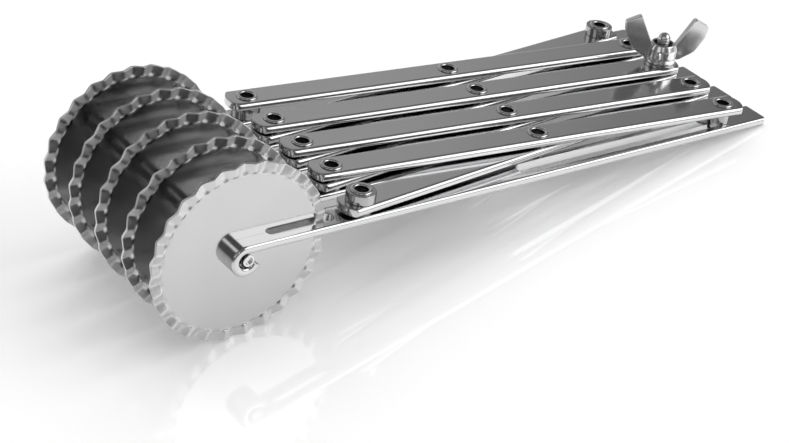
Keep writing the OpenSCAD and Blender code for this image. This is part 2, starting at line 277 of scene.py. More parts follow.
class FinishSettings(bpy.types.PropertyGroup):
    """Colours and gloss of the five steel finishes."""
    strip_color: FloatVectorProperty(
        name="Strip", description="Colour of the rolled strip", subtype="COLOR", size=3,
        default=(0.62, 0.62, 0.625))
    strip_roughness: FloatProperty(
        name="Strip Roughness", description="Roughness of the rolled strip",
        default=0.14, min=0, max=1, subtype="FACTOR")
    wheel_color: FloatVectorProperty(
        name="Wheel", description="Colour of the polished sheet", subtype="COLOR", size=3,
        default=(0.53, 0.53, 0.53))
    wheel_roughness: FloatProperty(
        name="Wheel Roughness", description="Roughness of the polished sheet",
        default=0.11, min=0, max=1, subtype="FACTOR")
    rim_roughness: FloatProperty(
        name="Rim Roughness", description="Roughness that the satin flutes add",
        default=0.25, min=0, max=1, subtype="FACTOR")
    rivet_color: FloatVectorProperty(
        name="Rivet", description="Colour of rivets and pins", subtype="COLOR", size=3,
        default=(0.72, 0.72, 0.72))
    rivet_roughness: FloatProperty(
        name="Rivet Roughness", description="Roughness of rivets and pins",
        default=0.2, min=0, max=1, subtype="FACTOR")
    washer_color: FloatVectorProperty(
        name="Washer", description="Colour of washers and collars", subtype="COLOR", size=3,
        default=(0.46, 0.46, 0.46))
    washer_roughness: FloatProperty(
        name="Washer Roughness", description="Roughness of washers and collars",
        default=0.14, min=0, max=1, subtype="FACTOR")
    nut_color: FloatVectorProperty(
        name="Nut", description="Colour of the wing nut and its screw", subtype="COLOR",
        size=3, default=(0.8, 0.8, 0.8))
    nut_roughness: FloatProperty(
        name="Nut Roughness", description="Roughness of the wing nut and its screw",
        default=0.17, min=0, max=1, subtype="FACTOR")


class StageSettings(bpy.types.PropertyGroup):
    """Camera, lamps and floor."""
    azimuth: FloatProperty(
        name="Azimuth", description="Turn of the camera from behind the wheels to the right",
        default=math.radians(54.94), subtype="ANGLE")
    elevation: FloatProperty(
        name="Elevation", description="Height angle of the camera",
        default=math.radians(35.22), subtype="ANGLE")
    distance: FloatProperty(
        name="Distance", description="Distance from the camera to its target",
        default=583.15 * MM, unit="LENGTH")
    target: FloatVectorProperty(
        name="Target", description="Point that the middle of the picture shows",
        default=(22.56 * MM, -26.5 * MM, 10 * MM), subtype="XYZ", unit="LENGTH")
    lens: FloatProperty(
        name="Lens", description="Focal length on a 36 mm wide sensor", default=91.11)
    floor_size: FloatProperty(
        name="Floor Size", description="Width of the floor", default=12, unit="LENGTH")
    floor_color: FloatVectorProperty(
        name="Floor", description="Colour of the floor", subtype="COLOR", size=3,
        default=(0.93, 0.93, 0.93))
    floor_glow: FloatProperty(
        name="Floor Glow", description="Light that the floor adds to its own picture",
        default=0.18, min=0)
    sky: FloatProperty(
        name="Sky Level", description="Irradiance of the soft light that casts the shadow",
        default=1.9, min=0)
    sky_width: FloatProperty(
        name="Sky Width", description="Width of the soft light",
        default=math.radians(75), subtype="ANGLE")
    sky_turn: FloatProperty(
        name="Sky Turn", description="Turn of the soft light from the rear to the right",
        default=math.radians(-50), subtype="ANGLE")
    sky_height: FloatProperty(
        name="Sky Height", description="Height angle of the soft light",
        default=math.radians(62), subtype="ANGLE")
    dusk: FloatProperty(
        name="Dusk", description="Level of the studio between its light panels",
        default=0.15, min=0)


class CutterSettings(bpy.types.PropertyGroup):
    """All sizes and finishes of the dough cutter."""
    strip: PointerProperty(type=StripSettings)
    holes: PointerProperty(type=HoleSettings)
    wheel: PointerProperty(type=WheelSettings)
    turned: PointerProperty(type=TurnedSettings)
    clamp: PointerProperty(type=ClampSettings)
    finish: PointerProperty(type=FinishSettings)
    stage: PointerProperty(type=StageSettings)


def settings():
    """The scene's dough cutter settings."""
    return bpy.context.scene.dough_cutter


# Node trees

class NodeMaker:
    """Adds and links nodes of one tree with short calls."""

    def __init__(self, tree):
        self.tree = tree

    def node(self, kind, **values):
        """New node with its properties set."""
        made = self.tree.nodes.new(kind)
        for name, value in values.items():
            setattr(made, name, value)
        return made

    def feed(self, socket, value):
        """Links value to a socket if it is a socket, or else sets it."""
        if isinstance(value, bpy.types.NodeSocket):
            self.tree.links.new(value, socket)
        else:
            socket.default_value = value

    def math(self, operation, *values, kind="ShaderNodeMath"):
        """Result of one sum on one, two or three values."""
        made = self.node(kind, operation=operation)
        for socket, value in zip(made.inputs, values):
            self.feed(socket, value)
        return made.outputs[0]

    def mix(self, share, one, two):
        """Colour between one and two."""
        made = self.node("ShaderNodeMixRGB", blend_type="MIX")
        for socket, value in zip(made.inputs, (share, one, two)):
            self.feed(socket, value)
        return made.outputs[0]

    def ramp(self, value, start, end, low=0.0, high=1.0, kind="SMOOTHSTEP"):
        """Value mapped from the span start to end onto low to high, and held beyond it."""
        made = self.node("ShaderNodeMapRange", interpolation_type=kind)
        for socket, part in zip(made.inputs, (value, start, end, low, high)):
            self.feed(socket, part)
        return made.outputs[0]

    def vector(self, x, y, z):
        """Vector from its three parts."""
        made = self.node("ShaderNodeCombineXYZ")
        for socket, value in zip(made.inputs, (x, y, z)):
            self.feed(socket, value)
        return made.outputs[0]

    def parts(self, vector):
        """The X, Y and Z outputs of a vector."""
        made = self.node("ShaderNodeSeparateXYZ")
        self.feed(made.inputs[0], vector)
        return made.outputs


def new_object(name, data):
    """Object in the scene that holds the data."""
    made = bpy.data.objects.new(name, data)
    bpy.context.scene.collection.objects.link(made)
    return made


def new_material(name):
    """Material with nodes, its node maker and its shader."""
    material = bpy.data.materials.new(name)
    material.use_nodes = True
    tree = material.node_tree
    return material, NodeMaker(tree), tree.nodes["Principled BSDF"]


def mesh_from(bm, name):
    """Mesh with what a bmesh holds, which it uses up."""
    mesh = bpy.data.meshes.new(name)
    bm.to_mesh(mesh)
    bm.free()
    return mesh


def evaluated_mesh(item):
    """Plain mesh of an object with its modifiers applied."""
    graph = bpy.context.evaluated_depsgraph_get()
    return bpy.data.meshes.new_from_object(item.evaluated_get(graph))


# Steel finishes: how worn places differ from fresh ones in tone and roughness, how dark
# painted shade makes the recesses and how much rougher they get there, and how much lighter
# the painted sheen makes a satin and how much more dented a satin is
WORN_TONES = (0.93, 1.05)
WORN_ROUGHNESS = (1.25, 0.8)
PAINTED_SHADE_TONE, PAINTED_SHADE_ROUGHNESS = 0.04, 0.3
PAINTED_SHEEN_TONE, SATIN_DENTS = 1.25, 40

# Depth of the rolled strip's, the polished sheet's and the tumbled and cast parts' bumps
STRIP_BUMP, WHEEL_BUMP, ROUGH_BUMP = 0.0012 * MM, 0.002 * MM, 0.008 * MM


def toned(color, level):
    """A colour at another level, with its alpha."""
    return (*[min(1, part * level) for part in color], 1)


def steel(name, color, roughness, pattern):
    """Polished steel. pattern adds the finish's own grain: it takes the node maker and
    returns a height field, a field that varies tone and roughness, both about 0 to 1, the
    depth of the bump and, from 0 to 1, where the polish turns to a rougher satin that also
    gets a painted sheen, a lighter tone. A piece's attribute of painted shade darkens and
    roughens its recesses."""
    material, maker, shader = new_material(name)
    shader.inputs["Metallic"].default_value = 1.0
    height, wear, bump_depth, satin_and_sheen = pattern(maker)
    painted_shade = maker.node("ShaderNodeAttribute", attribute_name="painted_shade").outputs["Fac"]
    tone = maker.mix(wear, *[toned(color, level) for level in WORN_TONES])
    # Painted sheen: a lighter tone over the wheels' satin rim
    tone = maker.mix(satin_and_sheen, tone, toned(color, PAINTED_SHEEN_TONE))
    # Painted shade darkens the recesses that a piece marks
    tone = maker.mix(painted_shade, tone, toned(color, PAINTED_SHADE_TONE))
    maker.feed(shader.inputs["Base Color"], tone)
    gloss = maker.ramp(wear, 0, 1, *[roughness * share for share in WORN_ROUGHNESS], "LINEAR")
    more = maker.math("MULTIPLY", satin_and_sheen, settings().finish.rim_roughness)
    more = maker.math("MULTIPLY_ADD", painted_shade, PAINTED_SHADE_ROUGHNESS, more)
    maker.feed(shader.inputs["Roughness"], maker.math("ADD", gloss, more))
    bump = maker.node("ShaderNodeBump")
    bump.inputs["Strength"].default_value = 1.0
    bump.inputs["Distance"].default_value = bump_depth
    maker.feed(bump.inputs["Height"], height)
    maker.feed(shader.inputs["Normal"], bump.outputs["Normal"])
    return material


def stretched_noise(maker, source, scale, detail=3.0):
    """Noise over a vector whose axes are stretched by scale."""
    mapping = maker.node("ShaderNodeMapping")
    maker.feed(mapping.inputs["Vector"], source)
    mapping.inputs["Scale"].default_value = scale
    noise = maker.node("ShaderNodeTexNoise")
    noise.inputs["Scale"].default_value = 1.0
    noise.inputs["Detail"].default_value = detail
    maker.feed(noise.inputs["Vector"], mapping.outputs["Vector"])
    return noise.outputs["Fac"]


def strip_grain(maker):
    """Rolling grain along the strip, with soft patches of handling wear."""
    along = maker.node("ShaderNodeAttribute", attribute_name="grain").outputs["Vector"]
    fine = stretched_noise(maker, along, (3500, 60, 3500))
    coarse = stretched_noise(maker, along, (700, 12, 700), 2.0)
    patches = stretched_noise(maker, along, (90, 40, 90), 4.0)
    height = maker.math("ADD", maker.math("MULTIPLY", fine, 0.4), coarse)
    wear = maker.math("MULTIPLY_ADD", fine, 0.35, maker.math("MULTIPLY", patches, 0.65))
    return height, wear, STRIP_BUMP, 0.0


def wheel_grain(maker):
    """Faint turning marks about the axle under a mirror polish."""
    place = maker.node("ShaderNodeTexCoord").outputs["Object"]
    centred = maker.node("ShaderNodeMapping")
    maker.feed(centred.inputs["Vector"], place)
    centred.inputs["Location"].default_value = (0, -AXLE.y, -AXLE.z)
    x, y, z = maker.parts(centred.outputs["Vector"])
    flat = maker.vector(0, y, z)
    reach = maker.node("ShaderNodeVectorMath", operation="LENGTH")
    maker.feed(reach.inputs[0], flat)
    rings = stretched_noise(maker, maker.vector(reach.outputs["Value"], 0, 0), (1800, 1, 1), 2.0)
    patches = stretched_noise(maker, place, (70, 70, 70), 4.0)
    dents = stretched_noise(maker, place, (500, 500, 500), 2.0)
    height = maker.math("MULTIPLY_ADD", rings, 0.15, patches)
    wear = maker.math("MULTIPLY_ADD", rings, 0.25, maker.math("MULTIPLY", patches, 0.75))
    flat_r = WHEEL_R - settings().wheel.flute_depth
    fade = 0.3 * settings().wheel.flute_depth
    # The satin rim: rougher and dented, and given a painted sheen, a lighter tone
    rim = maker.ramp(reach.outputs["Value"], flat_r, flat_r + fade)
    share = maker.math("MULTIPLY", rim, SATIN_DENTS)
    height = maker.math("ADD", height, maker.math("MULTIPLY", share, dents))
    return height, wear, WHEEL_BUMP, rim


def turned_grain(maker):
    """Small scratches and dents of tumbled parts."""
    place = maker.node("ShaderNodeTexCoord").outputs["Object"]
    dents = stretched_noise(maker, place, (420, 420, 420), 3.0)
    specks = stretched_noise(maker, place, (1800, 1800, 1800), 2.0)
    height = maker.math("MULTIPLY_ADD", specks, 0.2, dents)
    return height, dents, ROUGH_BUMP, 0.0


def cast_grain(maker):
    """Slow waves of a polished casting with fine pits."""
    place = maker.node("ShaderNodeTexCoord").outputs["Object"]
    waves = stretched_noise(maker, place, (190, 190, 190), 2.0)
    pits = stretched_noise(maker, place, (1500, 1500, 1500), 3.0)
    height = maker.math("MULTIPLY_ADD", pits, 0.04, waves)
    wear = maker.math("MULTIPLY_ADD", pits, 0.4, maker.math("MULTIPLY", waves, 0.6))
    return height, wear, ROUGH_BUMP, 0.0


def finish_material(slot):
    """The material of one of the record's slots, made at its first use."""
    name = f"finished_{slot}"
    made = bpy.data.materials.get(name)
    if made:
        return made
    finish = settings().finish
    grains = {
        "strip_steel": (finish.strip_color, finish.strip_roughness, strip_grain),
        "wheel_steel": (finish.wheel_color, finish.wheel_roughness, wheel_grain),
        "rivet_steel": (finish.rivet_color, finish.rivet_roughness, turned_grain),
        "washer_steel": (finish.washer_color, finish.washer_roughness, turned_grain),
        "nut_steel": (finish.nut_color, finish.nut_roughness, cast_grain),
    }
    return steel(name, *grains[slot])


# Pieces and their meshes, whose points are welded when they are nearer than this
WELD = 1e-6


def add_piece(mesh, name, body, slot, *nodes, sharp=math.radians(50)):
    """Links a mesh as a piece that rides on a body in place of its CAD nodes."""
    piece = new_object(name, mesh)
    mesh.materials.clear()
    mesh.materials.append(finish_material(slot))
    mesh.polygons.foreach_set("use_smooth", [True] * len(mesh.polygons))
    mesh.set_sharp_from_angle(angle=sharp)
    shading = piece.modifiers.new("Even Shading", "WEIGHTED_NORMAL")
    shading.keep_sharp = True
    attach(piece, body)
    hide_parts(*nodes)
    return piece


def close_up(bm):
    """Welds doubles of a closed shell and turns its faces outwards."""
    bmesh.ops.remove_doubles(bm, verts=bm.verts, dist=WELD / 2)
    bmesh.ops.recalc_face_normals(bm, faces=bm.faces)


def slot_edge(r, front, rear, steps=12):
    """Right-hand edge of a slot as (x, s) points from its front tip to its rear tip. r is
    its half width, and front and rear are the centres of its two round ends."""
    quarter = [math.pi / 2 * step / steps for step in range(steps + 1)]
    points = [(r * math.sin(a), front - r * math.cos(a)) for a in quarter]
    points += [(r * math.cos(a), rear + r * math.sin(a)) for a in quarter]
    points[-1] = (0.0, points[-1][1])
    if rear - front < MM / 100:
        del points[steps]
    return points


def keyhole_edge(r, slit, front, rear, stations, steps=12):
    """As slot_edge, for a slot whose front opens into a slit that runs on to the end."""
    start = math.asin(slit / r)
    turn = [start + (math.pi / 2 - start) * step / steps for step in range(steps + 1)]
    points = [(slit, s) for s in stations]
    points += [(r * math.sin(a), front - r * math.cos(a)) for a in turn]
    return points + slot_edge(r, front, rear)[-steps - 1:]


class Strip:
    """Half of a flat strip, mirrored to its other half. Its section has rounded long edges,
    its openings lie on its middle line, and front(x) and rear(x) say where it ends."""

    columns = 10
    rounds = 6

    def __init__(self, half_w, thick, edge, bevel, front, rear):
        self.half_w, self.thick, self.edge, self.bevel = half_w, thick, edge, bevel
        self.front, self.rear = front, rear
        self.bm = bmesh.new()
        self.grain = self.bm.verts.layers.float_vector.new("grain")

    def top(self, inner):
        """Upper half of the section as (x, z) points from its inner edge outwards."""
        flat = self.half_w - self.edge
        high = self.thick / 2
        points = [
            (inner + (flat - inner) * c / self.columns, high) for c in range(self.columns + 1)
        ]
        for step in range(1, self.rounds + 1):
            a = math.pi / 2 * step / self.rounds
            points.append((flat + self.edge * math.sin(a), high - self.edge * (1 - math.cos(a))))
        return points

    def vertex(self, x, s, z):
        """Vertex at x across, s along and z above the middle, which it keeps as its grain."""
        made = self.bm.verts.new((x, s, z))
        made[self.grain] = (x, s, z)
        return made

    def row(self, inner, place):
        """Ring of vertices over the top and back under the bottom. place(x, z) gives their
        x, s and z."""
        upper = self.top(inner)
        lower = [(x, -z) for x, z in reversed(upper)]
        return [self.vertex(*place(x, z)) for x, z in upper + lower]

    def skin(self, rows):
        """Faces between neighbouring rows."""
        for one, two in zip(rows, rows[1:]):
            for j in range(len(one) - 1):
                self.bm.faces.new((one[j], one[j + 1], two[j + 1], two[j]))

    def cap(self, row):
        """End face, made of upright quads from the top edge to the bottom edge."""
        last = len(row) - 1
        for j in range(last // 2):
            self.bm.faces.new((row[j], row[j + 1], row[last - j - 1], row[last - j]))

    def ends(self, inner, end, inward):
        """The two rows of an end with a broken edge, the outer one first."""
        low = self.thick / 2 - self.bevel
        side = self.half_w - self.bevel
        outer = self.row(
            inner, lambda x, z: (min(x, side), end(min(x, side)), max(-low, min(low, z))))
        return [outer, self.row(inner, lambda x, z: (x, end(x) + inward * self.bevel, z))]

    def wall(self, edge, broken):
        """Wall of an opening. edge is its outline and broken the one at the face, which
        stands back by the width of the broken edge."""
        high = self.thick / 2
        low = high - (broken[-1][1] - edge[-1][1])
        rings = []
        for (x, s), (bx, bs) in zip(edge, broken):
            rings.append([
                self.vertex(bx, bs, high), self.vertex(x, s, low),
                self.vertex(x, s, -low), self.vertex(bx, bs, -high)])
        self.skin(rings)
        return rings

    def build(self, openings, stations=(), slit=0.0, hole_bevel=0.0):
        """Makes both halves. openings are pairs of outlines, plain and at the face."""
        places = {s: 0.0 for s in stations}
        for edge, broken in openings:
            places.update({s: x for x, s in broken})
            for s in stations:
                if broken[0][1] <= s <= broken[-1][1] and places[s] == 0.0:
                    raise ValueError("a station crosses an opening")
        rows = self.ends(slit, self.front, 1)
        for s in sorted(places):
            rows.append(self.row(places[s], lambda x, z, s=s: (x, s, z)))
        rows += reversed(self.ends(0.0, self.rear, -1))
        self.skin(rows)
        self.cap(rows[0])
        self.cap(rows[-1])
        for edge, broken in openings:
            rings = self.wall(edge, broken)
            if slit and edge is openings[0][0]:
                self.close_slit(rows, rings[0], slit, hole_bevel)
        self.mirror()
        close_up(self.bm)
        return self.bm

    def close_slit(self, rows, ring, slit, hole_bevel):
        """Joins the slit's wall to the strip's front end, with its edge broken too."""
        outer, inner = rows[0], rows[1]
        start = self.front(0) + self.bevel
        low = self.thick / 2 - hole_bevel
        high, deep = self.vertex(slit, start, low), self.vertex(slit, start, -low)
        self.skin([[inner[0], high, deep, inner[-1]], ring])
        self.bm.faces.new((outer[0], high, deep, outer[-1]))
        self.bm.faces.new((outer[0], inner[0], high))
        self.bm.faces.new((outer[-1], deep, inner[-1]))

    def mirror(self):
        """Adds the left half."""
        made = bmesh.ops.duplicate(self.bm, geom=self.bm.faces[:])
        for vertex in (v for v in made["geom"] if isinstance(v, bmesh.types.BMVert)):
            vertex.co.x = -vertex.co.x
            vertex[self.grain] = vertex.co


def strip_mesh(name, bm, bend):
    """Mesh of a strip, each vertex moved to bend(x, s, z) in the tool's level frame."""
    for vertex in bm.verts:
        vertex.co = TOOL @ bend(*vertex.co)
    bmesh.ops.recalc_face_normals(bm, faces=bm.faces)
    return mesh_from(bm, name)


def arm_openings(stations):
    """Outlines of an arm's openings, each plain and with its broken edge."""
    holes, bevel = settings().holes, settings().strip.hole_bevel
    rim_front = holes.rim_front + holes.rim_slot
    rim_rear = WHEEL_R + holes.rim_gap - holes.rim_slot
    pairs = []
    for b in (0.0, bevel):
        pairs.append([
            keyhole_edge(holes.rim_slot + b, holes.slit, rim_front, rim_rear, stations),
            slot_edge(holes.pivot + b, PIVOT_Y, PIVOT_Y),
            slot_edge(holes.slot + b, OPEN_Y - holes.slot_fit, REAR_Y + holes.slot_fit),
        ])
    return list(zip(*pairs))


def build_arm(i):
    """Arm i: a strip rolled into an eye at the front and slit there for its wheel."""
    sizes, holes = settings().strip, settings().holes
    middle_r = CURL_R - STRIP_T / 2
    turn = math.pi * 1.5 - sizes.curl_end
    front_s = CURL_Y - turn * middle_r
    bends = 56
    stations = [front_s + sizes.end_bevel * 2]
    stations += [CURL_Y - turn * middle_r * (1 - step / bends) for step in range(1, bends + 1)]
    flat_x = HALF_W - sizes.corner

    def rear(x):
        over = max(0.0, x - flat_x)
        return ARM_REAR - sizes.corner + math.sqrt(sizes.corner ** 2 - over ** 2)

    def bend(x, s, z):
        if s >= CURL_Y:
            return Vector((ARM_X[i] + x, s, ARM_Z + STRIP_T / 2 + z))
        angle = (CURL_Y - s) / middle_r
        r = middle_r + z
        return Vector((
            ARM_X[i] + x, CURL_Y - r * math.sin(angle), CURL_Z + r * math.cos(angle)))

    strip = Strip(
        HALF_W, STRIP_T, sizes.arm_edge, sizes.end_bevel, lambda x: front_s, rear)
    bm = strip.build(arm_openings(stations), stations, holes.slit, sizes.hole_bevel)
    add_piece(strip_mesh(f"steel_arm_{i}", bm, bend), f"steel_arm_{i}", f"arm_{i}",
              "strip_steel", f"arm_{i}")


def build_bar(node, front_x, z, side):
    """Flat bar with its front hole on the arm at front_x, leaning to side going back."""
    sizes, holes = settings().strip, settings().holes
    bevel = sizes.hole_bevel
    strip = Strip(
        HALF_W, STRIP_T, sizes.bar_edge, sizes.end_bevel,
        lambda x: -math.sqrt(sizes.bar_end ** 2 - x ** 2),
        lambda x: BAR_LENGTH + math.sqrt(sizes.bar_end ** 2 - x ** 2))
    openings = [
        (slot_edge(holes.pivot, y, y), slot_edge(holes.pivot + bevel, y, y))
        for y in (0.0, BAR_LENGTH / 2, BAR_LENGTH)
    ]
    bm = strip.build(openings)
    turn = Matrix.Rotation(-side * CLOSED_ANGLE, 4, "Z")
    start = Vector((front_x, PIVOT_Y, z + STRIP_T / 2))
    mesh = strip_mesh(f"steel_{node}", bm, lambda *place: start + turn @ Vector(place))
    add_piece(mesh, f"steel_{node}", node, "strip_steel", node)


# Turned pieces

def rounded(corners, steps=5):
    """Closed profile with its corners rounded. Each corner is (r, z, rounding)."""
    points = []
    count = len(corners)
    for k, (r, z, size) in enumerate(corners):
        here = Vector((r, z))
        before = Vector(corners[k - 1][:2]) - here
        after = Vector(corners[(k + 1) % count][:2]) - here
        if size <= 0:
            points.append(here)
            continue
        before.normalize()
        after.normalize()
        half = before.angle(after) / 2
        reach = size / math.tan(half)
        middle = here + (before + after).normalized() * (size / math.sin(half))
        start, end = here + before * reach - middle, here + after * reach - middle
        sweep = start.angle_signed(end)
        for step in range(steps + 1):
            spoke = start.copy()
            spoke.rotate(Matrix.Rotation(-sweep * step / steps, 2))
            points.append(middle + spoke)
    return points


def profile_object(points):
    """Object that holds a closed profile's points for the lathe tree. A point is (r, z),
    or (r, z, share) where it carries a share of what the tree adds, such as a thread."""
    mesh = bpy.data.meshes.new("profile")
    mesh.from_pydata([(p[0], p[2] if len(p) > 2 else 0, p[1]) for p in points], [], [])
    return bpy.data.objects.new("profile", mesh)


def pleats(maker, given, angle, r, share, z):
    """Leans the rim outside the flat radius to one side and the other in turn."""
    past = maker.math("SUBTRACT", r, given["Flat Radius"])
    depth = maker.math("MAXIMUM", maker.math("DIVIDE", past, given["Flute Depth"]), 0.0)
    dip = maker.ramp(depth, 0, given["Dip"])
    gentle = maker.math("SUBTRACT", 1.0, given["Dip Height"])
    steep = maker.math("MULTIPLY", dip, given["Dip Height"])
    slope = maker.math("MULTIPLY_ADD", depth, gentle, steep)
    swing = maker.math("COSINE", maker.math("MULTIPLY", angle, given["Flutes"]))
    fold = maker.math("ARCSINE", maker.math("MULTIPLY", swing, given["Sharpness"]))
    fold = maker.math("DIVIDE", fold, maker.math("ARCSINE", given["Sharpness"]))
    lean = maker.math("MULTIPLY", maker.math("MULTIPLY", fold, slope), given["Wave"])
    return r, maker.math("MULTIPLY_ADD", lean, 0.5, z)


def thread(maker, given, angle, r, share, z):
    """Cuts a helical groove into the points that carry a share of the thread."""
    rise = maker.math("DIVIDE", z, given["Pitch"])
    turns = maker.math("SUBTRACT", rise, maker.math("DIVIDE", angle, math.tau))
    saw = maker.math("ABSOLUTE", maker.math("MULTIPLY_ADD", maker.math("FRACT", turns), 2.0, -1.0))
    cut = maker.math("MULTIPLY", maker.math("MULTIPLY", saw, share), given["Depth"])
    return maker.math("SUBTRACT", r, cut), z


# What each lathe tree adds to a plain spin: the shaping function and its own inputs
LATHES = {
    "turned_ring": (None, {}),
    "fluted_wheel": (pleats, {
        "Flutes": "Int", "Flat Radius": "Float", "Flute Depth": "Float", "Wave": "Float",
        "Sharpness": "Float", "Dip": "Float", "Dip Height": "Float"}),
    "threaded_screw": (thread, {"Pitch": "Float", "Depth": "Float"}),
}


def lathe_tree(name):
    """Geometry node tree that spins a profile about Z and sets it on each point."""
    shape, inputs = LATHES[name]
    tree = bpy.data.node_groups.new(name, "GeometryNodeTree")
    face = tree.interface
    face.new_socket("Geometry", in_out="OUTPUT", socket_type="NodeSocketGeometry")
    face.new_socket("Geometry", in_out="INPUT", socket_type="NodeSocketGeometry")
    common = {"Profile": "Object", "Steps": "Int", "Turn": "Rotation", "Material": "Material"}
    for label, kind in {**common, **inputs}.items():
        face.new_socket(label, in_out="INPUT", socket_type=f"NodeSocket{kind}")
    maker = NodeMaker(tree)
    given = maker.node("NodeGroupInput").outputs
    profile = maker.node("GeometryNodeObjectInfo", transform_space="ORIGINAL")
    maker.feed(profile.inputs["Object"], given["Profile"])
    size = maker.node("GeometryNodeAttributeDomainSize")
    maker.feed(size.inputs["Geometry"], profile.outputs["Geometry"])
    count = size.outputs["Point Count"]
    grid = maker.node("GeometryNodeMeshGrid")
    grid.inputs["Size X"].default_value = 1
    grid.inputs["Size Y"].default_value = 1
    maker.feed(grid.inputs["Vertices X"], maker.math("ADD", given["Steps"], 1))
    maker.feed(grid.inputs["Vertices Y"], maker.math("ADD", count, 1))
    u, v, _ = maker.parts(maker.node("GeometryNodeInputPosition").outputs[0])
    angle = maker.math("MULTIPLY", maker.math("ADD", u, 0.5), math.tau)
    row = maker.math("ROUND", maker.math("MULTIPLY", maker.math("ADD", v, 0.5), count))
    sample = maker.node("GeometryNodeSampleIndex", data_type="FLOAT_VECTOR")
    maker.feed(sample.inputs["Geometry"], profile.outputs["Geometry"])
    maker.feed(sample.inputs["Value"], maker.node("GeometryNodeInputPosition").outputs[0])
    maker.feed(sample.inputs["Index"], maker.math("FLOORED_MODULO", row, count))
    r, share, z = maker.parts(sample.outputs["Value"])
    if shape:
        r, z = shape(maker, given, angle, r, share, z)
    x = maker.math("MULTIPLY", r, maker.math("COSINE", angle))
    y = maker.math("MULTIPLY", r, maker.math("SINE", angle))
    shaped = maker.node("GeometryNodeSetPosition")
    maker.feed(shaped.inputs["Geometry"], grid.outputs["Mesh"])
    maker.feed(shaped.inputs["Position"], maker.vector(x, y, z))
    weld = maker.node("GeometryNodeMergeByDistance")
    maker.feed(weld.inputs["Geometry"], shaped.outputs["Geometry"])
    weld.inputs["Distance"].default_value = WELD
    place = maker.node("GeometryNodeInstanceOnPoints")
    maker.feed(place.inputs["Points"], given["Geometry"])
    maker.feed(place.inputs["Instance"], weld.outputs["Geometry"])
    maker.feed(place.inputs["Rotation"], given["Turn"])
    whole = maker.node("GeometryNodeRealizeInstances")
    maker.feed(whole.inputs["Geometry"], place.outputs["Instances"])
    dressed = maker.node("GeometryNodeSetMaterial")
    maker.feed(dressed.inputs["Geometry"], whole.outputs["Geometry"])
    maker.feed(dressed.inputs["Material"], given["Material"])
    sink = maker.node("NodeGroupOutput")
    maker.feed(sink.inputs["Geometry"], dressed.outputs["Geometry"])
    return tree


def run_tree(tree, places, values):
    """Plain mesh that a geometry node tree makes on the given places."""
    start = bpy.data.meshes.new("places")
    start.from_pydata(places, [], [])
    holder = new_object("places", start)
    modifier = holder.modifiers.new(tree.name, "NODES")
    modifier.node_group = tree
    for item in tree.interface.items_tree:
        if item.in_out == "INPUT" and item.name in values:
            modifier[item.identifier] = values[item.name]
    made = evaluated_mesh(holder)
    holder.modifiers.remove(modifier)
    bpy.data.objects.remove(holder)
    bpy.data.meshes.remove(start)
    bm = bmesh.new()
    bm.from_mesh(made)
    close_up(bm)
    bm.to_mesh(made)
    bm.free()
    return made


# Turns that stand a lathe's axis up in the tool, or lay it along the wheels' axle
UPRIGHT = (-TILT, 0, 0)
ALONG_AXLE = (0, math.pi / 2, 0)


def spin(profile, slot, spots, turn=UPRIGHT, steps=0, lathe="turned_ring", **inputs):
    """Mesh spun from a profile at each of the spots, in the tool's level frame."""
    helper = profile_object(profile)
    values = {
        "Profile": helper, "Steps": steps or settings().turned.steps, "Turn": turn,
        "Material": finish_material(slot)}
    values.update({name.replace("_", " ").title(): value for name, value in inputs.items()})
    tree = bpy.data.node_groups.get(lathe) or lathe_tree(lathe)
    mesh = run_tree(tree, [TOOL @ Vector(spot) for spot in spots], values)
    bpy.data.objects.remove(helper)
    return mesh


def joined(meshes):
    """One mesh from several, which it uses up."""
    bm = bmesh.new()
    for mesh in meshes:
        bm.from_mesh(mesh)
        bpy.data.meshes.remove(mesh)
    return mesh_from(bm, "joined")


def middle_spot(node):
    """Place of a node's axis across and along the tool, at the height of the axle."""
    return (*centre(level_box(node)).xy, 0)


def ring_profile(r_in, r_out, z0, z1, edge):
    """Section of a plain ring with broken edges."""
    return rounded([(r_in, z0, edge), (r_out, z0, edge), (r_out, z1, edge), (r_in, z1, edge)])


def rivet_profile(z0, z1, r_head):
    """Section of a hollow rivet from under its head, at z0, to the top of its rolled lip."""
    sizes = settings().turned
    lip_z = z1 - sizes.lip
    edge = sizes.break_edge / 2
    under = rounded([
        (BORE_R, z0, edge), (r_head, z0, edge), (r_head, z0 + sizes.head, edge),
        (sizes.barrel, z0 + sizes.head, 0), (sizes.barrel, lip_z, 0), (r_head, lip_z, 0)])
    middle, reach, steps = (BORE_R + r_head) / 2, (r_head - BORE_R) / 2, 16
    turns = [math.pi * step / steps for step in range(1, steps)]
    fullness = 0.8
    return under + [
        Vector((middle + reach * math.cos(a), lip_z + sizes.lip * math.sin(a) ** fullness))
        for a in turns] + [Vector((BORE_R, lip_z))]


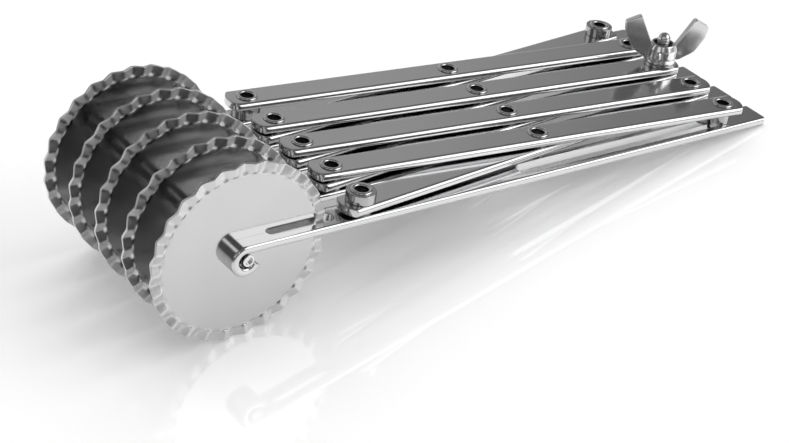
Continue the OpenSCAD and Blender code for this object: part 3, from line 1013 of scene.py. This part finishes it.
def build_wheel(i):
    """Wheel i, pressed from sheet, with a pleated rim and a bore for its pin."""
    sizes = settings().wheel
    half = sizes.sheet / 2
    flat_r = WHEEL_R - sizes.flute_depth
    pin_fit, bore_edge = 0.05 * MM, 0.1 * MM
    bore = PIN_R + pin_fit
    rim_steps = 18
    # Rings of the flat middle, closer together towards the flutes
    radii = [bore + bore_edge, PIN_R * 2.5, flat_r * 0.6, flat_r - 1.2 * MM, flat_r - 0.3 * MM]
    radii += [flat_r + sizes.flute_depth * k / rim_steps for k in range(rim_steps)]
    radii.append(WHEEL_R - sizes.edge)
    profile = [(r, half) for r in radii]
    edge_steps = 4
    for step in range(1, edge_steps):
        a = math.pi / 2 * step / edge_steps
        profile.append((
            WHEEL_R - sizes.edge + sizes.edge * math.sin(a),
            half - sizes.edge + sizes.edge * math.cos(a)))
    profile.append((WHEEL_R, half - sizes.edge))
    profile += [(r, -z) for r, z in reversed(profile)]
    profile += [(bore, -half + bore_edge), (bore, half - bore_edge)]
    mesh = spin(
        profile, "wheel_steel", [(ARM_X[i], 0, 0)], ALONG_AXLE, sizes.flutes * sizes.steps,
        "fluted_wheel", flutes=sizes.flutes, flat_radius=flat_r, flute_depth=sizes.flute_depth,
        wave=WHEEL_DEPTH - sizes.sheet, sharpness=sizes.sharpness, dip=sizes.dip,
        dip_height=sizes.dip_height)
    add_piece(mesh, f"fluted_wheel_{i}", f"wheel_{i}", "wheel_steel", f"wheel_{i}")


def build_pin(i):
    """Wheel pin i, fast in its arm's curl and cupped at both ends."""
    sizes = settings().turned
    reach = (PIN_HIGH.x - PIN_LOW.x) / 2
    floor = reach - sizes.pin_cup_depth
    half = [
        (PIN_R, reach, sizes.break_edge), (sizes.pin_cup, reach, sizes.break_edge / 2),
        (sizes.pin_cup, floor, sizes.break_edge), (0, floor, 0)]
    profile = rounded(half + [(r, -z, size) for r, z, size in reversed(half)])
    mesh = spin(profile, "rivet_steel", [(ARM_X[i], 0, 0)], ALONG_AXLE)
    add_piece(mesh, f"pin_{i}", f"arm_{i}", "rivet_steel", f"wheel_pin_{i}")


def mark_painted_shade(mesh, amount):
    """Marks the painted shade of the skin, from 0 to 1, by its place in the tool's level frame."""
    to_level = TOOL.inverted()
    painted_shade = mesh.attributes.new("painted_shade", "FLOAT", "POINT")
    for vertex, mark in zip(mesh.vertices, painted_shade.data):
        mark.value = amount(to_level @ vertex.co)


def off_axis(place, spot):
    """Distance of a place from the upright axis at a spot."""
    return (place.xy - Vector(spot).xy).length


def build_rivet(node, body):
    """Hollow rivet where its CAD node is."""
    low, high = level_box(node)
    # Painted shade in the bore: a little more than its radius, so that its whole wall is shaded
    spot, wall = middle_spot(node), BORE_R + 0.01 * MM
    mesh = spin(rivet_profile(low.z, high.z, radius(node)), "rivet_steel", [spot])
    mark_painted_shade(mesh, lambda place: float(off_axis(place, spot) < wall))
    add_piece(mesh, f"eyelet_{node}", body, "rivet_steel", node)


def build_ring(node, body, r_in):
    """Washer, collar or spacer where its CAD node is. A node of two washers gets both."""
    low, high = level_box(node)
    spans = [(low.z, high.z)]
    if "washers" in node:
        low_play, high_play = low.z - ARM_TOP, HIGH_Z - high.z
        spans = [(low.z, LOW_Z - low_play), (LOW_TOP + high_play, high.z)]
    meshes = []
    for z0, z1 in spans:
        widest = 0.3 * (z1 - z0)
        edge = min(settings().turned.break_edge, widest)
        profile = ring_profile(r_in, radius(node), z0, z1, edge)
        meshes.append(spin(profile, "washer_steel", [middle_spot(node)]))
    add_piece(joined(meshes), f"ring_{node}", body, "washer_steel", node)


# The clamp

def build_screw():
    """Clamping screw: a low head, a plain shank, a thread and a domed tip."""
    sizes = settings().clamp
    low, high = level_box("clamp_screw")
    head_r, head_top = radius("clamp_screw"), low.z + sizes.head_t
    shank_top = HIGH_Z + STRIP_T / 2
    dome_z = high.z - sizes.thread_r
    profile = rounded([
        (0, low.z, 0), (head_r - sizes.head_t / 2, low.z, 0.3 * MM),
        (head_r, low.z + sizes.head_t / 2, 0.2 * MM), (head_r, head_top, 0.15 * MM),
        (sizes.shank_r, head_top, 0), (sizes.shank_r, shank_top, 0)])
    rows_a_turn, runout_rows, dome_steps = 12, 6, 8
    rows = int((dome_z - shank_top) / sizes.thread_pitch * rows_a_turn)
    for k in range(rows + 1):
        share = min(1, (rows - k) / runout_rows)
        profile.append((sizes.thread_r, shank_top + (dome_z - shank_top) * k / rows, share))
    for step in range(1, dome_steps + 1):
        a = math.pi / 2 * step / dome_steps
        profile.append((sizes.thread_r * math.cos(a), dome_z + sizes.thread_r * math.sin(a)))
    mesh = spin(
        profile, "nut_steel", [middle_spot("clamp_screw")], lathe="threaded_screw",
        pitch=sizes.thread_pitch, depth=sizes.thread_depth)
    # Painted shade on the screw below its dome, where it stands in the nut's hollow crown
    full_depth, full_share = 1.5 * MM, 0.75
    mark_painted_shade(
        mesh, lambda place: full_share * max(0, min(1, (dome_z - place.z) / full_depth)))
    add_piece(mesh, "screw", "upper_bar_2", "nut_steel", "clamp_screw")


def wing_outline(reach, height):
    """Flat outline of one wing, from its root in the hub to its tip."""
    sizes = settings().clamp
    r, h = sizes.thread_r, sizes.crown_h
    return rounded([
        (r + 0.5 * MM, h * 0.2, 0), (reach * 0.42, h * 0.17, 2 * MM),
        (reach * 0.76, height * 0.27, 5 * MM), (reach * 0.97, height * 0.62, 5 * MM),
        (reach * 1.01, height * 0.86, 0.7 * MM), (reach * 0.65, height * 1.02, 0.8 * MM),
        (reach * 0.29, h * 0.95, 1 * MM), (r + 0.5 * MM, h * 0.84, 0)])


def wing_mesh(outline, turn):
    """Closed plate on the outline, thicker at its root than at its tip."""
    sizes = settings().clamp
    reach = max(point.x for point in outline)
    root_share, taper = 1.25, 0.3
    bm = bmesh.new()
    faces = []
    for side in (1, -1):
        ring = []
        for point in outline:
            share = root_share - taper * min(1, point.x / reach)
            half_t = sizes.wing_t / 2 * share
            ring.append(bm.verts.new((point.x, side * half_t, point.y)))
        faces.append(ring)
    front, back = faces
    bm.faces.new(front)
    bm.faces.new(back[::-1])
    count = len(outline)
    for k in range(count):
        n = (k + 1) % count
        bm.faces.new((front[k], back[k], back[n], front[n]))
    bmesh.ops.rotate(bm, verts=bm.verts, matrix=Matrix.Rotation(turn, 3, "Z"))
    bmesh.ops.recalc_face_normals(bm, faces=bm.faces)
    return mesh_from(bm, "wing")


def cast(parts, softening):
    """One skin over parts that run into each other, softened as a casting's edges are."""
    whole = joined(parts)
    block = new_object("casting", whole)
    skin = block.modifiers.new("Skin", "REMESH")
    skin.mode = "VOXEL"
    skin.voxel_size = settings().clamp.grit
    made = evaluated_mesh(block)
    bpy.data.objects.remove(block)
    bpy.data.meshes.remove(whole)
    bm = bmesh.new()
    bm.from_mesh(made)
    for _ in range(softening):
        bmesh.ops.smooth_vert(
            bm, verts=bm.verts, factor=0.5, use_axis_x=True, use_axis_y=True, use_axis_z=True)
    bm.to_mesh(made)
    bm.free()
    return made


def build_wing_nut():
    """Wing nut: a hub with a foot, a groove and a hollow crown, two wings and a boss."""
    sizes = settings().clamp
    place = TOOL @ Matrix.Translation((AXLE.x, REAR_Y, NUT_Z))
    to_nut = place.inverted()
    local = [to_nut @ v.co for v in frame["nodes"]["wing_nut"].data.vertices]
    height = max(v.z for v in local)
    out = Vector((math.cos(sizes.wing_turn), math.sin(sizes.wing_turn), 0))
    reach = max(v.dot(out) for v in local)
    foot, crown, h = sizes.foot_r, sizes.crown_r, sizes.crown_h
    bore = sizes.thread_r + 0.15 * MM
    body = foot - 0.25 * MM
    hub = rounded([
        (bore, 0, 0), (foot, 0, 0.2 * MM), (foot, h * 0.14, 0.2 * MM),
        (foot - 0.7 * MM, h * 0.2, 0.1 * MM), (body, h * 0.28, 0.4 * MM),
        (body, h * 0.72, 0.7 * MM), (crown, h, 0.4 * MM), (crown - 0.7 * MM, h, 0.3 * MM),
        (crown - 1 * MM, h * 0.7, 0.3 * MM), (bore, h * 0.68, 0)])
    boss_out = Matrix.Rotation(sizes.boss_turn, 2) @ Vector((body - 0.1 * MM, 0))
    boss = rounded([
        (0, h * 0.3, 0), (sizes.boss_r, h * 0.3, 0.5 * MM), (sizes.boss_r, h * 0.68, 0.7 * MM),
        (0, h * 0.68, 0)])
    parts = [
        spin([(r, z + NUT_Z) for r, z in hub], "nut_steel", [(AXLE.x, REAR_Y, 0)], steps=96),
        spin([(r, z + NUT_Z) for r, z in boss], "nut_steel",
             [(AXLE.x + boss_out.x, REAR_Y + boss_out.y, 0)], steps=32)]
    for side in (0, math.pi):
        wing = wing_mesh(wing_outline(reach, height), sizes.wing_turn + side)
        wing.transform(place)
        parts.append(wing)
    mesh = cast(parts, softening=4)
    # Painted shade on the skin inside the hollow crown
    wall, floor_z, crown_share = crown - 0.6 * MM, NUT_Z + h * 0.5, 0.85
    axis = (AXLE.x, REAR_Y)
    mark_painted_shade(
        mesh, lambda place: crown_share * (off_axis(place, axis) < wall and place.z > floor_z))
    add_piece(mesh, "wing_nut_casting", "wing_nut", "nut_steel", "wing_nut")


# The stage, with how rough and how reflective its floor is
FLOOR_ROUGHNESS, FLOOR_SHEEN = 0.04, 0.9


def build_floor():
    """Pale glossy floor that keeps the tool's shadow and shows white in the picture."""
    stage = settings().stage
    half = stage.floor_size / 2
    mesh = bpy.data.meshes.new("floor")
    corners = [(-half, -half, 0), (half, -half, 0), (half, half, 0), (-half, half, 0)]
    mesh.from_pydata(corners, [], [(0, 1, 2, 3)])
    floor = new_object("floor", mesh)
    material, maker, shader = new_material("pale_floor")
    shader.inputs["Base Color"].default_value = (*stage.floor_color, 1)
    shader.inputs["Roughness"].default_value = FLOOR_ROUGHNESS
    shader.inputs["Specular IOR Level"].default_value = FLOOR_SHEEN
    glow = maker.node("ShaderNodeEmission")
    maker.feed(glow.inputs["Strength"], maker.math("MULTIPLY", in_picture(maker), stage.floor_glow))
    both = maker.node("ShaderNodeAddShader")
    maker.feed(both.inputs[0], shader.outputs["BSDF"])
    maker.feed(both.inputs[1], glow.outputs["Emission"])
    maker.feed(material.node_tree.nodes["Material Output"].inputs["Surface"], both.outputs[0])
    mesh.materials.append(material)


def in_picture(maker):
    """1 for rays that the camera sees directly, in gloss or through glass."""
    path = maker.node("ShaderNodeLightPath").outputs
    seen = maker.math("MAXIMUM", path["Is Camera Ray"], path["Is Glossy Ray"])
    return maker.math("MAXIMUM", seen, path["Is Transmission Ray"])


def window(maker, value, low, high, soft):
    """1 between low and high, falling softly to 0 outside."""
    rise = [math.radians(low - soft), math.radians(low + soft)]
    fall = [math.radians(high - soft), math.radians(high + soft)]
    return maker.math(
        "MULTIPLY", maker.ramp(value, *rise), maker.ramp(value, *fall, 1, 0))


# Light panels of the studio: turn from the rear to the right and height, both from and to
# in degrees, the softness of their edges and their level
PANELS = {
    "key": ((4, 70), (13, 50), 3, 2.2),
    "low_rear": ((36, 80), (-2, 10), 3, 0.35),
    "rear_left": ((-110, -42), (4, 34), 9, 0.29),
    "front_left": ((-150, -114), (16, 42), 5, 0.9),
    "slit": ((110, 125), (32, 48), 5, 1.7),
    "front_right": ((146, 172), (22, 46), 5, 0.7),
}


def build_world():
    """Dim studio with soft light panels, white where the camera sees it."""
    world = bpy.data.worlds.new("studio")
    world.use_nodes = True
    bpy.context.scene.world = world
    maker = NodeMaker(world.node_tree)
    direction = maker.node("ShaderNodeTexCoord").outputs["Generated"]
    x, y, z = maker.parts(direction)
    turn = maker.math("ARCTAN2", x, y)
    height = maker.math("ARCSINE", z)
    level = settings().stage.dusk
    for turns, heights, soft, strength in PANELS.values():
        panel = maker.math(
            "MULTIPLY", window(maker, turn, *turns, soft), window(maker, height, *heights, soft))
        level = maker.math("MULTIPLY_ADD", panel, strength, level)
    camera = maker.node("ShaderNodeLightPath").outputs["Is Camera Ray"]
    level = maker.math("MAXIMUM", level, camera)
    background = world.node_tree.nodes["Background"].inputs
    background["Color"].default_value = (1, 1, 1, 1)
    maker.feed(background["Strength"], level)


def build_sky():
    """Soft light from above the rear left, which polished steel doesn't mirror."""
    stage = settings().stage
    data = bpy.data.lights.new("sky", "SUN")
    data.energy = stage.sky
    data.angle = stage.sky_width
    lamp = new_object("sky", data)
    lamp.visible_glossy = False
    flat = math.cos(stage.sky_height)
    source = Vector((
        math.sin(stage.sky_turn) * flat, math.cos(stage.sky_turn) * flat,
        math.sin(stage.sky_height)))
    lamp.rotation_euler = source.to_track_quat("Z", "Y").to_euler()


def build_camera():
    """Camera at the photograph's angle, level and without shift."""
    stage = settings().stage
    a, e = stage.azimuth, stage.elevation
    back = Vector((math.sin(a) * math.cos(e), -math.cos(a) * math.cos(e), math.sin(e)))
    data = bpy.data.cameras.new("camera")
    data.lens = stage.lens
    data.sensor_width = 36
    camera = new_object("camera", data)
    camera.location = Vector(stage.target) + back * stage.distance
    camera.rotation_euler = back.to_track_quat("Z", "Y").to_euler()
    bpy.context.scene.camera = camera


# Operators

class CutterOperator:
    """Shared base of the operators."""
    bl_options = {"REGISTER", "UNDO"}


class DOUGH_OT_arms(CutterOperator, bpy.types.Operator):
    """Build the five curled arms"""
    bl_idname = "dough.arms"
    bl_label = "Arms"

    def execute(self, context):
        for i in ARMS:
            build_arm(i)
        return {"FINISHED"}


class DOUGH_OT_bars(CutterOperator, bpy.types.Operator):
    """Build the eight bars of the lattice"""
    bl_idname = "dough.bars"
    bl_label = "Bars"

    def execute(self, context):
        for k in BARS:
            build_bar(f"upper_bar_{k}", ARM_X[k], HIGH_Z, 1)
            build_bar(f"lower_bar_{k}", ARM_X[k + 1], LOW_Z, -1)
        return {"FINISHED"}


class DOUGH_OT_wheels(CutterOperator, bpy.types.Operator):
    """Build the five fluted wheels"""
    bl_idname = "dough.wheels"
    bl_label = "Wheels"

    def execute(self, context):
        for i in ARMS:
            build_wheel(i)
        return {"FINISHED"}


class DOUGH_OT_pins(CutterOperator, bpy.types.Operator):
    """Build the pins that the wheels turn on"""
    bl_idname = "dough.pins"
    bl_label = "Wheel Pins"

    def execute(self, context):
        for i in ARMS:
            build_pin(i)
        return {"FINISHED"}


class DOUGH_OT_rivets(CutterOperator, bpy.types.Operator):
    """Build the hollow rivets"""
    bl_idname = "dough.rivets"
    bl_label = "Rivets"

    def execute(self, context):
        for body, nodes in frame["record"]["behaviour"]["bodies"].items():
            for node in nodes:
                if "rivet" in node:
                    build_rivet(node, body)
        return {"FINISHED"}


class DOUGH_OT_rings(CutterOperator, bpy.types.Operator):
    """Build the washers, collars and the spacer"""
    bl_idname = "dough.rings"
    bl_label = "Washers and Collars"

    def execute(self, context):
        fit = settings().holes.pivot
        for body, nodes in frame["record"]["behaviour"]["bodies"].items():
            for node in nodes:
                if any(word in node for word in ("washer", "collar", "spacer")):
                    build_ring(node, body, fit)
        return {"FINISHED"}


class DOUGH_OT_screw(CutterOperator, bpy.types.Operator):
    """Build the clamping screw"""
    bl_idname = "dough.screw"
    bl_label = "Clamping Screw"

    def execute(self, context):
        build_screw()
        return {"FINISHED"}


class DOUGH_OT_wing_nut(CutterOperator, bpy.types.Operator):
    """Build the wing nut"""
    bl_idname = "dough.wing_nut"
    bl_label = "Wing Nut"

    def execute(self, context):
        build_wing_nut()
        return {"FINISHED"}


class DOUGH_OT_stage(CutterOperator, bpy.types.Operator):
    """Build the floor, the studio, its lamps and the camera"""
    bl_idname = "dough.stage"
    bl_label = "Stage"

    def execute(self, context):
        context.scene.view_settings.view_transform = "Standard"
        build_floor()
        build_world()
        build_sky()
        build_camera()
        return {"FINISHED"}


class DOUGH_PT_panel(bpy.types.Panel):
    """Lists the steps that build the dough cutter"""
    bl_label = "Dough Cutter"
    bl_idname = "DOUGH_PT_panel"
    bl_space_type = "VIEW_3D"
    bl_region_type = "UI"
    bl_category = "Dough Cutter"

    def draw(self, context):
        for step in STEPS:
            self.layout.operator(step.bl_idname)


STEPS = [
    DOUGH_OT_stage, DOUGH_OT_arms, DOUGH_OT_bars, DOUGH_OT_wheels, DOUGH_OT_pins,
    DOUGH_OT_rivets, DOUGH_OT_rings, DOUGH_OT_screw, DOUGH_OT_wing_nut,
]
GROUPS = [
    StripSettings, HoleSettings, WheelSettings, TurnedSettings, ClampSettings,
    FinishSettings, StageSettings, CutterSettings,
]


def register():
    for group in GROUPS + STEPS + [DOUGH_PT_panel]:
        bpy.utils.register_class(group)
    bpy.types.Scene.dough_cutter = PointerProperty(type=CutterSettings)


def unregister():
    del bpy.types.Scene.dough_cutter
    for group in reversed(GROUPS + STEPS + [DOUGH_PT_panel]):
        bpy.utils.unregister_class(group)


def main():
    """Builds the stage and every piece."""
    register()
    bpy.ops.dough.stage()
    bpy.ops.dough.arms()
    bpy.ops.dough.bars()
    bpy.ops.dough.wheels()
    bpy.ops.dough.pins()
    bpy.ops.dough.rivets()
    bpy.ops.dough.rings()
    bpy.ops.dough.screw()
    bpy.ops.dough.wing_nut()


if __name__ == "__main__":
    main()
